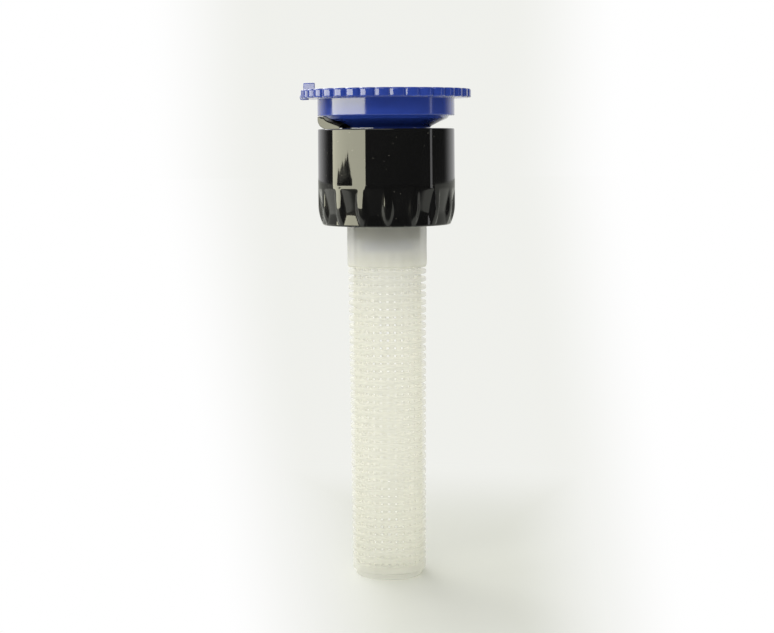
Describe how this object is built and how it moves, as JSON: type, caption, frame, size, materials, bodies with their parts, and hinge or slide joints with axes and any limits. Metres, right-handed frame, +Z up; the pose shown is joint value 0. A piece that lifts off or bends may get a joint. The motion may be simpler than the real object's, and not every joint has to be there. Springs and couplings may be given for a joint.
{
  "type": "spray nozzle",
  "caption": "Adjustable-arc spray nozzle for a pop up sprinkler: toothed turning disc, ribbed body that screws onto the riser, and a long finned filter screen.",
  "frame": {"origin": "centre of the screen's closed end, on the surface that the nozzle stands on", "axes": "+Z up along the nozzle's axis, -X towards the fixed edge of the arc, -Y towards the picture's viewer"},
  "size_m": [0.0277, 0.0274, 0.0808],
  "materials": {
    "black_plastic": "glossy black moulding",
    "blue_plastic": "glossy blue moulding",
    "natural_plastic": "translucent natural polyethylene",
    "ivory_plastic": "moulded acetal",
    "stainless": "turned stainless steel",
    "brass": "turned brass",
    "rubber": "moulded rubber"
  },
  "bodies": {
    "nozzle": {"nozzle_body": "black_plastic", "center_post": "brass", "retaining_ring": "stainless", "thrust_washer": "ivory_plastic", "screw_o_ring": "rubber", "flow_guide": "black_plastic", "filter_screen": "natural_plastic", "screen_gasket": "rubber"},
    "turning_disc": {"deflector": "blue_plastic", "top_cap": "blue_plastic", "friction_washer": "stainless"},
    "sleeve": {"valve_sleeve": "ivory_plastic", "valve_spring": "stainless"},
    "screw": {"radius_screw": "stainless", "screw_clip": "stainless"},
    "plug": {"throttle_plug": "blue_plastic"}
  },
  "joints": [
    {"name": "arc_turn", "type": "hinge", "parent": "nozzle", "child": "turning_disc", "pos_m": [0, 0, 0.078], "axis": [0, 0, -1], "range_deg": [0, 340]},
    {"name": "sleeve_lift", "type": "slide", "parent": "turning_disc", "child": "sleeve", "axis": [0, 0, 1], "range_m": [0, 0.00095], "deforming": ["valve_spring"]},
    {"name": "screw_turn", "type": "hinge", "parent": "nozzle", "child": "screw", "pos_m": [0, 0, 0.079], "axis": [0, 0, -1], "range_deg": [0, 1261]},
    {"name": "plug_travel", "type": "slide", "parent": "nozzle", "child": "plug", "axis": [0, 0, 1], "range_m": [0, 0.00175]}
  ],
  "couplings": [
    {"joint": "sleeve_lift", "follows": "arc_turn", "m_per_rad": 0.00015915},
    {"joint": "screw_turn", "follows": "plug_travel", "rad_per_m": 12566}
  ]
}
